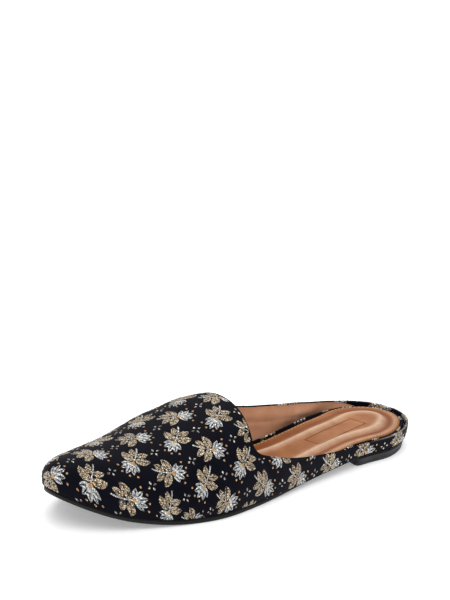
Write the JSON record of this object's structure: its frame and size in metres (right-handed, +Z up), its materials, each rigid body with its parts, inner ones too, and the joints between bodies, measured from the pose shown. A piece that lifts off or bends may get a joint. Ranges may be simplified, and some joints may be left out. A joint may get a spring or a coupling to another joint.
{
  "type": "backless slipper",
  "caption": "Flat backless slipper for a left foot: closed rounded vamp, low walls running back round the heel, padded footbed, thin sole and a low heel.",
  "frame": {"origin": "on the floor under the middle of the shoe's bounding box", "axes": "+X from the heel to the toe, +Y to the outer side of the left foot, +Z up from the floor"},
  "size_m": [0.2634, 0.0888, 0.051],
  "materials": {
    "brocade": "woven, near black navy ground with gold, silver and copper figures",
    "footbed_cover": "the same woven cloth, wrapped over the edge of the board",
    "tan_leather": "smooth tan lining leather, satin",
    "black_sole": "black sole leather, burnished edge",
    "black_heel": "black stacked lift, satin"
  },
  "bodies": {
    "root": {"upper": "brocade", "footbed": "footbed_cover", "insole_sock": "tan_leather", "outsole": "black_sole", "heel": "black_heel"}
  },
  "joints": []
}
